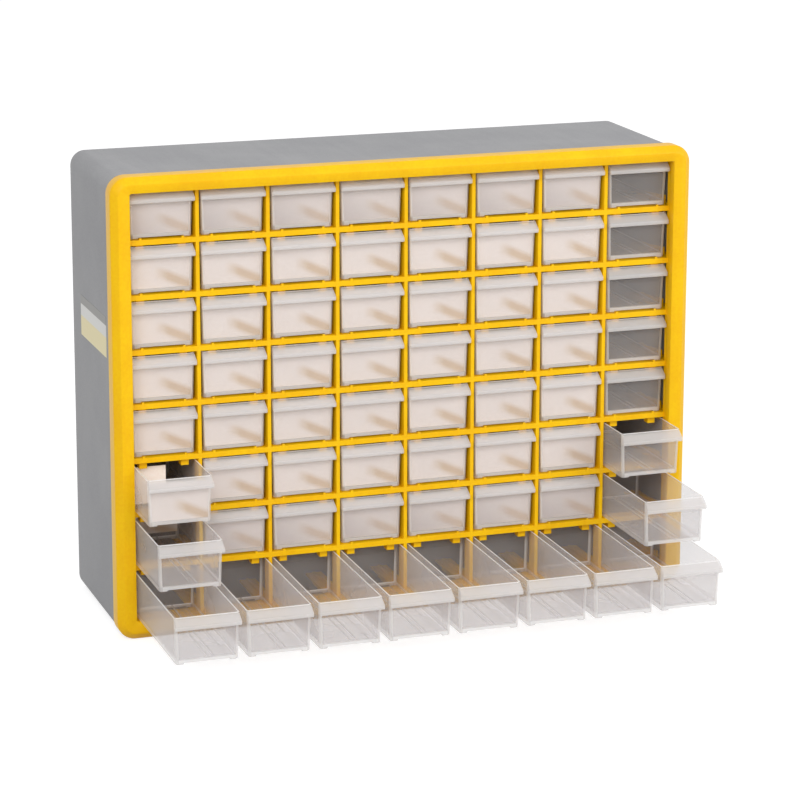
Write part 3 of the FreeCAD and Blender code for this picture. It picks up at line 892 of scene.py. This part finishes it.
    def mark_thick_and_glowing_places(self, mesh: bpy.types.Mesh) -> None:
        """Marks the rim, corners, hood's lip and feet: thick or cut plastic that gets a painted white glow.

        Args:
            mesh: the drawer's mesh.
        """
        marks = mesh.attributes.new(THICK_AND_GLOWING_PLACES, "FLOAT", "FACE")
        for face in mesh.polygons:
            marks.data[face.index].value = self.thick_and_glow_share(face.center / MM, abs(face.normal.z)).value

    def thick_and_glow_share(self, centre: Vector, level: float) -> ThicknessAndGlow:
        """Gives how thick the plastic looks at a face, and how much painted glow it gets.

        Args:
            centre: the face's centre, in mm.
            level: one for a level face and zero for an upright one.

        Returns:
            How thick it looks there, and its painted glow.
        """
        across, along, up = centre
        flat, upright = level > LEVEL_FROM, level < UPRIGHT_TO
        half = self.width / 2 - self.draft
        lip = self.height - self.hood_slope - self.hood_lip
        at_end = along < self.corner or along > self.length - self.corner
        if up > self.height - 2 * self.rim_round and along > 0:
            return ThicknessAndGlow.CUT_EDGE
        if along < 0 and flat and up < lip + self.wall / 2:
            return ThicknessAndGlow.CUT_EDGE
        if along < 0:
            in_front = upright and along < self.wall / 2 - self.hood_reach
            return ThicknessAndGlow.LIP if in_front else ThicknessAndGlow.HOOD
        if upright and abs(across) > half - self.corner and at_end:
            return ThicknessAndGlow.CORNER
        if up < self.foot_band and not flat:
            return ThicknessAndGlow.END_FOOT if at_end else ThicknessAndGlow.SIDE_FOOT
        return ThicknessAndGlow.WALL


@dataclass
class DrawerBank:
    """All drawers: copies of one pattern, set out in the CAD nodes' cells."""

    pattern: Drawer = field(default_factory=Drawer)

    def row_tree(self, material: bpy.types.Material) -> Tree:
        """Makes the node tree that sets drawers side by side.

        Args:
            material: the drawers' material.

        Returns:
            A geometry tree with a drawer, a count, a pitch and a place.
        """
        tree = bpy.data.node_groups.new("drawers_side_by_side", "GeometryNodeTree")
        face = tree.interface
        face.new_socket("Geometry", in_out="OUTPUT", socket_type="NodeSocketGeometry")
        for name, kind in (("Drawer", "NodeSocketObject"), ("Count", "NodeSocketInt"),
                           ("Pitch", "NodeSocketFloat"), ("First Place", "NodeSocketVector")):
            face.new_socket(name, in_out="INPUT", socket_type=kind)
        given = add(tree, "NodeGroupInput").outputs
        step = add(tree, "ShaderNodeCombineXYZ", {"X": given["Pitch"]}).outputs[0]
        line = add(tree, "GeometryNodeMeshLine", {
            "Count": given["Count"], "Start Location": given["First Place"], "Offset": step}).outputs[0]
        shape = add(tree, "GeometryNodeObjectInfo", {"Object": given["Drawer"]}).outputs["Geometry"]
        copies = add(tree, "GeometryNodeInstanceOnPoints", {"Points": line, "Instance": shape}).outputs[0]
        real = add(tree, "GeometryNodeRealizeInstances", {"Geometry": copies}).outputs[0]
        dressed = add(tree, "GeometryNodeSetMaterial", {"Geometry": real, "Material": material}).outputs[0]
        add(tree, "NodeGroupOutput", {"Geometry": dressed})
        return tree

    def build(self, material: bpy.types.Material) -> None:
        """Makes a piece for each drawer node, in the node's place.

        Args:
            material: the drawers' material.
        """
        pattern = self.pattern.build()
        tree = self.row_tree(material)
        sockets = {item.name: item.identifier for item in tree.interface.items_tree if item.in_out == "INPUT"}
        for node in sorted(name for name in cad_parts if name.startswith("drawer") and "row" in name):
            spots = self.pattern.spots(node)
            piece = bpy.data.objects.new(node.replace("drawer", "tray", 1), bpy.data.meshes.new(node))
            bpy.context.scene.collection.objects.link(piece)
            setting = piece.modifiers.new("row", "NODES")
            setting.node_group = tree
            setting[sockets["Drawer"]] = pattern
            setting[sockets["Count"]] = len(spots)
            setting[sockets["Pitch"]] = CELL_PITCH[0] * MM
            setting[sockets["First Place"]] = tuple(spots[0])
            to_plain_mesh(piece)
            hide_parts(node)
            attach(piece, node)
            log.info("%s: %d drawers, %d faces", piece.name, len(spots), len(piece.data.polygons))
        bpy.data.objects.remove(pattern)


class CardPlace(Enum):
    """Where a card stands in its drawer."""

    FRONT = "behind the front wall"
    MIDDLE = "in the frame's plane, over the left half"
    BACK = "before the back wall"


@dataclass
class DrawerCards:
    """White cards that stand in drawers.

    Lengths are in mm, in the drawer's own frame, apart from frame_plane, which lies along the cabinet. A card
    in that plane ends left_share of the half width past the drawer's middle.
    """

    drawer: Drawer = field(default_factory=Drawer)
    card: float = 0.5
    clearance: float = 0.15
    above_ribs: float = 0.1
    below_tabs: float = 35.0
    frame_plane: float = -58.0
    left_share: float = 0.1

    def corners(self, where: CardPlace, front: float) -> list[Point]:
        """Gives the eight corners of a card that narrows downwards as the drawer does.

        Args:
            where: where it stands.
            front: where the drawer's front wall is along the cabinet.

        Returns:
            Four corners of its foot, then four of its top, anticlockwise from above.
        """
        drawer = self.drawer
        floor = drawer.runner_height + drawer.wall
        lean = drawer.end_draft + self.clearance
        foot, reach = floor + drawer.rib_height + self.above_ribs, 1.0
        if where is CardPlace.FRONT:
            near = drawer.wall + lean
        elif where is CardPlace.MIDDLE:
            near, reach = self.frame_plane - front, self.left_share
        else:
            foot, near = floor + drawer.nib_height, drawer.length - drawer.wall - lean - self.card
        points = []
        for up in (foot, self.below_tabs):
            half = drawer.width / 2 - drawer.wall - self.clearance - drawer.draft * (1 - up / drawer.height)
            points += [(-half, near, up), (reach * half, near, up), (reach * half, near + self.card, up),
                       (-half, near + self.card, up)]
        return points

    def build(self, node: str, columns: tuple[int, ...], places: tuple[CardPlace, ...],
              material: bpy.types.Material) -> None:
        """Stands cards in the drawers of one node.

        Args:
            node: the drawers' node.
            columns: the places of its drawers with a card, from the left.
            places: where the cards stand in each of these drawers.
            material: the card.
        """
        spots = self.drawer.spots(node)
        shape = bmesh.new()
        for column, where in product(columns, places):
            spot = spots[column]
            add_box(shape, [Vector(point) * MM + spot for point in self.corners(where, spot.y / MM)])
        piece = as_object(node.replace("drawer", "card", 1), shape)
        dress(piece, material)
        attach(piece, node)
        log.info("%s: %d faces", piece.name, len(piece.data.polygons))

    def build_all(self, material: bpy.types.Material) -> None:
        """Stands the cards in all rows but the lowest and all columns but the last.

        Args:
            material: the card.
        """
        usual = (CardPlace.FRONT,)
        for row, column in product((1, 2), (1, 3, 5, 7)):
            spots = (0,) if column == 7 else (0, 1)
            self.build(f"drawers_row{row}_col{column}_{column + 1}", spots, usual, material)
        others = {(6, 1): (CardPlace.FRONT, CardPlace.MIDDLE), (7, 1): (CardPlace.BACK,)}
        for row, column in product(range(3, 8), range(1, 8)):
            self.build(f"drawer_row{row}_col{column}", (0,), others.get((row, column), usual), material)


@dataclass
class SoftenedShell:
    """A CAD shell copied as one smooth mesh with rounded edges. Lengths are in mm."""

    node: str
    name: str
    slot: str
    edge_round: float = 0.5
    sharp_angle: float = math.radians(28)
    flat_angle: float = math.radians(0.5)

    def build(self, material: bpy.types.Material) -> bpy.types.Object:
        """Makes the shell's piece.

        Args:
            material: its material.

        Returns:
            The piece.
        """
        shape = bmesh.new()
        shape.from_mesh(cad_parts[self.node].data)
        bmesh.ops.remove_doubles(shape, verts=shape.verts, dist=SAME_PLACE)
        bmesh.ops.dissolve_limit(shape, angle_limit=self.flat_angle, verts=shape.verts, edges=shape.edges)
        piece = as_object(self.name, shape)
        step = piece.modifiers.new("edges", "BEVEL")
        step.width = self.edge_round * MM
        step.segments = 2
        step.limit_method = "ANGLE"
        step.angle_limit = self.sharp_angle
        step.use_clamp_overlap = True
        to_plain_mesh(piece)
        smooth(piece.data, self.sharp_angle)
        dress(piece, material)
        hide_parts(self.node)
        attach(piece, "cabinet")
        log.info("%s: %d faces", piece.name, len(piece.data.polygons))
        return piece


@dataclass
class CarriedOver:
    """A CAD node whose shape is shown as it is."""

    node: str

    def build(self, material: bpy.types.Material) -> None:
        """Dresses the node.

        Args:
            material: its material.
        """
        dress(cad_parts[self.node], material)
        log.info("%s: %d faces", self.node, len(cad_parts[self.node].data.polygons))


@dataclass
class Studio:
    """A pale floor, soft lamps and a pale surround. Lengths are in metres."""

    floor_half: float = 6.0
    floor_drop: float = 0.2 * MM
    floor_tone: str = "#bcbcbc"
    lamp_watts: tuple[float, ...] = (35.0, 34.0, 1.5)
    lamp_places: tuple[Point, ...] = ((-1.5, -2.3, 1.7), (1.9, -2.0, 1.5), (0.0, 0.4, 2.6))
    lamp_sizes: tuple[float, ...] = (1.6, 1.6, 2.2)
    aim: Point = (0.0, -0.05, 0.18)
    surround: float = 0.6
    floor_lift: float = 0.72
    see_through_layers: int = 32

    def sees_background(self, tree: Tree) -> Socket:
        """Gives one for rays that should find the pale background.

        Args:
            tree: the node tree.

        Returns:
            One for camera, glossy and transmission rays, and zero for the rest.
        """
        path = add(tree, "ShaderNodeLightPath").outputs
        seen = worked_out(tree, "MAXIMUM", path["Is Camera Ray"], path["Is Glossy Ray"])
        return worked_out(tree, "MAXIMUM", seen, path["Is Transmission Ray"])

    def floor(self) -> None:
        """Makes the floor, pale to the camera and with the object's shadow on it."""
        material, tree = new_material("pale_floor")
        matt = add(tree, "ShaderNodeBsdfDiffuse", {"Color": linear(self.floor_tone)})
        strength = worked_out(tree, "MULTIPLY", self.sees_background(tree), self.floor_lift)
        lift = add(tree, "ShaderNodeEmission", {"Color": linear("#ffffff"), "Strength": strength})
        both = add(tree, "ShaderNodeAddShader", {0: matt.outputs[0], 1: lift.outputs[0]})
        add(tree, "ShaderNodeOutputMaterial", {"Surface": both.outputs[0]})
        shape = bmesh.new()
        half = self.floor_half
        shape.faces.new([shape.verts.new((x, y, -self.floor_drop))
                         for x, y in ((-half, -half), (half, -half), (half, half), (-half, half))])
        floor = as_object("floor", shape)
        dress(floor, material)

    def lamps(self) -> None:
        """Hangs the soft lamps."""
        lamps = zip(self.lamp_watts, self.lamp_places, self.lamp_sizes)
        for number, (watts, place, size) in enumerate(lamps):
            light = bpy.data.lights.new(f"soft_lamp_{number}", "AREA")
            light.energy = watts
            light.size = size
            lamp = bpy.data.objects.new(light.name, light)
            lamp.location = place
            lamp.rotation_euler = (Vector(self.aim) - Vector(place)).to_track_quat("-Z", "Y").to_euler()
            bpy.context.scene.collection.objects.link(lamp)

    def world(self) -> None:
        """Sets the pale surround."""
        world = bpy.data.worlds.new("pale_surround")
        bpy.context.scene.world = world
        world.use_nodes = True
        tree = world.node_tree
        tree.nodes.clear()
        strength = graded(tree, self.sees_background(tree), self.surround, 1.0, 0.0, 1.0)
        back = add(tree, "ShaderNodeBackground", {"Color": linear("#ffffff"), "Strength": strength})
        add(tree, "ShaderNodeOutputWorld", {"Surface": back.outputs[0]})

    def build(self) -> None:
        """Sets the stage."""
        self.floor()
        self.lamps()
        self.world()
        bpy.context.scene.view_settings.view_transform = "Standard"
        bpy.context.scene.cycles.transparent_max_bounces = self.see_through_layers


@dataclass
class PhotoCamera:
    """The camera of the photograph, whose axis meets the picture centre_above pixels above its middle.

    Lengths are in metres, the sensor's in millimetres, and angles in radians.
    """

    place: Point = (-0.80199, -2.37360, 0.82041)
    turn: float = 0.33252
    tip: float = 0.22339
    roll: float = 0.00227
    focal_pixels: float = 3039.14
    centre_above: float = 100.0
    image_pixels: float = 800.0
    sensor: float = 36.0
    far_clip: float = 50.0

    def build(self) -> None:
        """Makes the camera and sets it as the scene's."""
        data = bpy.data.cameras.new("photo_camera")
        data.sensor_width = self.sensor
        data.lens = self.focal_pixels * self.sensor / self.image_pixels
        data.shift_y = -self.centre_above / self.image_pixels
        data.clip_end = self.far_clip
        camera = bpy.data.objects.new("photo_camera", data)
        away = Vector((math.sin(self.turn) * math.cos(self.tip), math.cos(self.turn) * math.cos(self.tip),
                       -math.sin(self.tip)))
        level = away.cross(Vector((0, 0, 1))).normalized()
        upright = level.cross(away)
        right = math.cos(self.roll) * level + math.sin(self.roll) * upright
        up = math.cos(self.roll) * upright - math.sin(self.roll) * level
        turned = Matrix((right, up, -away)).transposed().to_4x4()
        camera.matrix_world = Matrix.Translation(self.place) @ turned
        bpy.context.scene.collection.objects.link(camera)
        bpy.context.scene.camera = camera


def main() -> None:
    """Builds the looks in order."""
    logging.basicConfig(level=logging.INFO, format="%(name)s %(message)s")
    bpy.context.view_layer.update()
    PhotoCamera().build()
    Studio().build()
    grey, yellow, milky = GREY_HIPS.build(), YELLOW_HIPS.build(), NATURAL_PP.build()
    SoftenedShell("housing_shell", "tub", "housing", edge_round=0.6).build(grey)
    SoftenedShell("front_bezel", "front_frame", "front", edge_round=0.5).build(yellow)
    CarriedOver("drawer_rack").build(yellow)
    CarriedOver("side_sticker").build(BLANK_STICKER.build())
    DrawerBank().build(milky)
    DrawerCards().build_all(WHITE_CARD.build())


if __name__ == "__main__":
    main()
